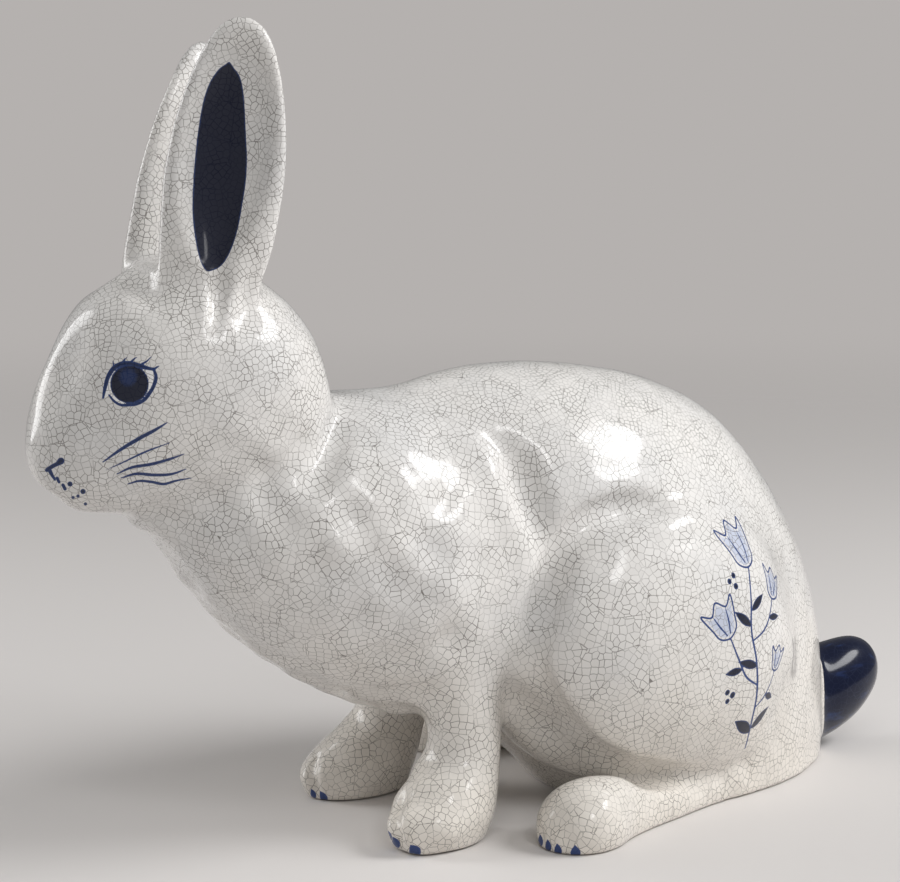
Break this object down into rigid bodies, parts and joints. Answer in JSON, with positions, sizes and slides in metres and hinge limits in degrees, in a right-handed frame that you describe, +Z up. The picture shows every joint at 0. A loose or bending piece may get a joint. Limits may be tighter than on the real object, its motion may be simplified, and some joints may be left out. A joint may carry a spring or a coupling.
{
  "type": "ceramic rabbit figurine",
  "caption": "Crouching rabbit ornament in glazed earthenware with upright ears, a crackled pale glaze and blue painted details.",
  "frame": {"origin": "centre of the footprint box, on the surface that the rabbit stands on", "axes": "-X is the way the rabbit faces, +Y its right side, +Z up"},
  "size_m": [0.5163, 0.2428, 0.4138],
  "materials": {
    "crackle_glaze": "gloss",
    "cobalt_glaze": "gloss"
  },
  "bodies": {
    "root": {"body": "crackle_glaze", "head": "crackle_glaze", "left_ear": "crackle_glaze", "right_ear": "crackle_glaze", "left_front_leg": "crackle_glaze", "right_front_leg": "crackle_glaze", "left_hind_foot": "crackle_glaze", "right_hind_foot": "crackle_glaze", "tail": "cobalt_glaze"}
  },
  "joints": []
}
